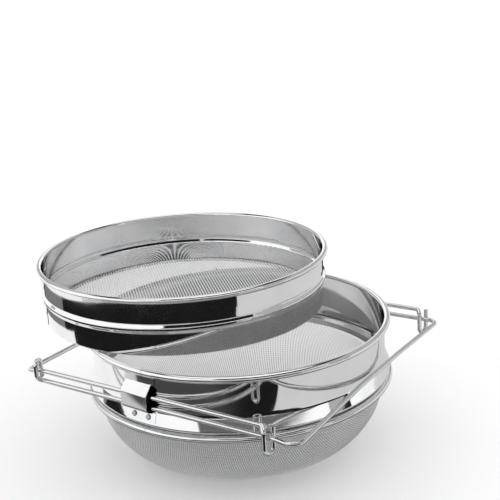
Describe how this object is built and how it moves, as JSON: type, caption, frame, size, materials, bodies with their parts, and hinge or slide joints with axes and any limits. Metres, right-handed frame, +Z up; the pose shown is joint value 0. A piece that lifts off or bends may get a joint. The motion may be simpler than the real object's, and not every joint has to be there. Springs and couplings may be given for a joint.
{
  "type": "double sieve strainer",
  "caption": "Two-stage honey strainer: a flat coarse sieve set on a deep fine mesh bowl sieve, with wire bows that slide out to span a pail.",
  "frame": {"origin": "on the axis of the lower hoop, at the underside of the mesh bowl's flat bottom, which the strainer stands on", "axes": "+X along the legs of the wire bows, towards the right bow's cross bar; +Y across the bows; +Z up, towards the rims"},
  "size_m": [0.2964, 0.2477, 0.1566],
  "materials": {
    "hoop_steel": "mirror-polished stainless sheet",
    "rim_wire_steel": "drawn stainless wire",
    "bow_wire_steel": "bright polished stainless wire",
    "clip_steel": "polished pressed stainless sheet",
    "rivet_steel": "dull stainless rivet",
    "coarse_mesh_steel": "plain-woven stainless wire, coarse",
    "fine_mesh_steel": "plain-woven stainless wire, fine",
    "mesh_ring_steel": "smooth stainless strip"
  },
  "bodies": {
    "lower_sieve": {"lower_hoop": "hoop_steel", "lower_rim_wire": "rim_wire_steel", "lower_foot_wire": "rim_wire_steel", "lower_mesh": "fine_mesh_steel", "lower_mesh_ring": "mesh_ring_steel", "front_clip": "clip_steel", "rear_clip": "clip_steel", "front_clip_rivets": "rivet_steel", "rear_clip_rivets": "rivet_steel"},
    "upper_sieve": {"upper_hoop": "hoop_steel", "upper_rim_wire": "rim_wire_steel", "upper_mesh": "coarse_mesh_steel", "upper_lap_welds": "rivet_steel"},
    "left_handle": {"left_bow": "bow_wire_steel"},
    "right_handle": {"right_bow": "bow_wire_steel"}
  },
  "joints": [
    {"name": "upper_lift", "type": "slide", "parent": "lower_sieve", "child": "upper_sieve", "axis": [0, 0, 1], "range_m": [0, 0.15]},
    {"name": "left_slide", "type": "slide", "parent": "lower_sieve", "child": "left_handle", "axis": [-1, 0, 0], "range_m": [0, 0.055]},
    {"name": "right_slide", "type": "slide", "parent": "lower_sieve", "child": "right_handle", "axis": [1, 0, 0], "range_m": [0, 0.055]}
  ]
}
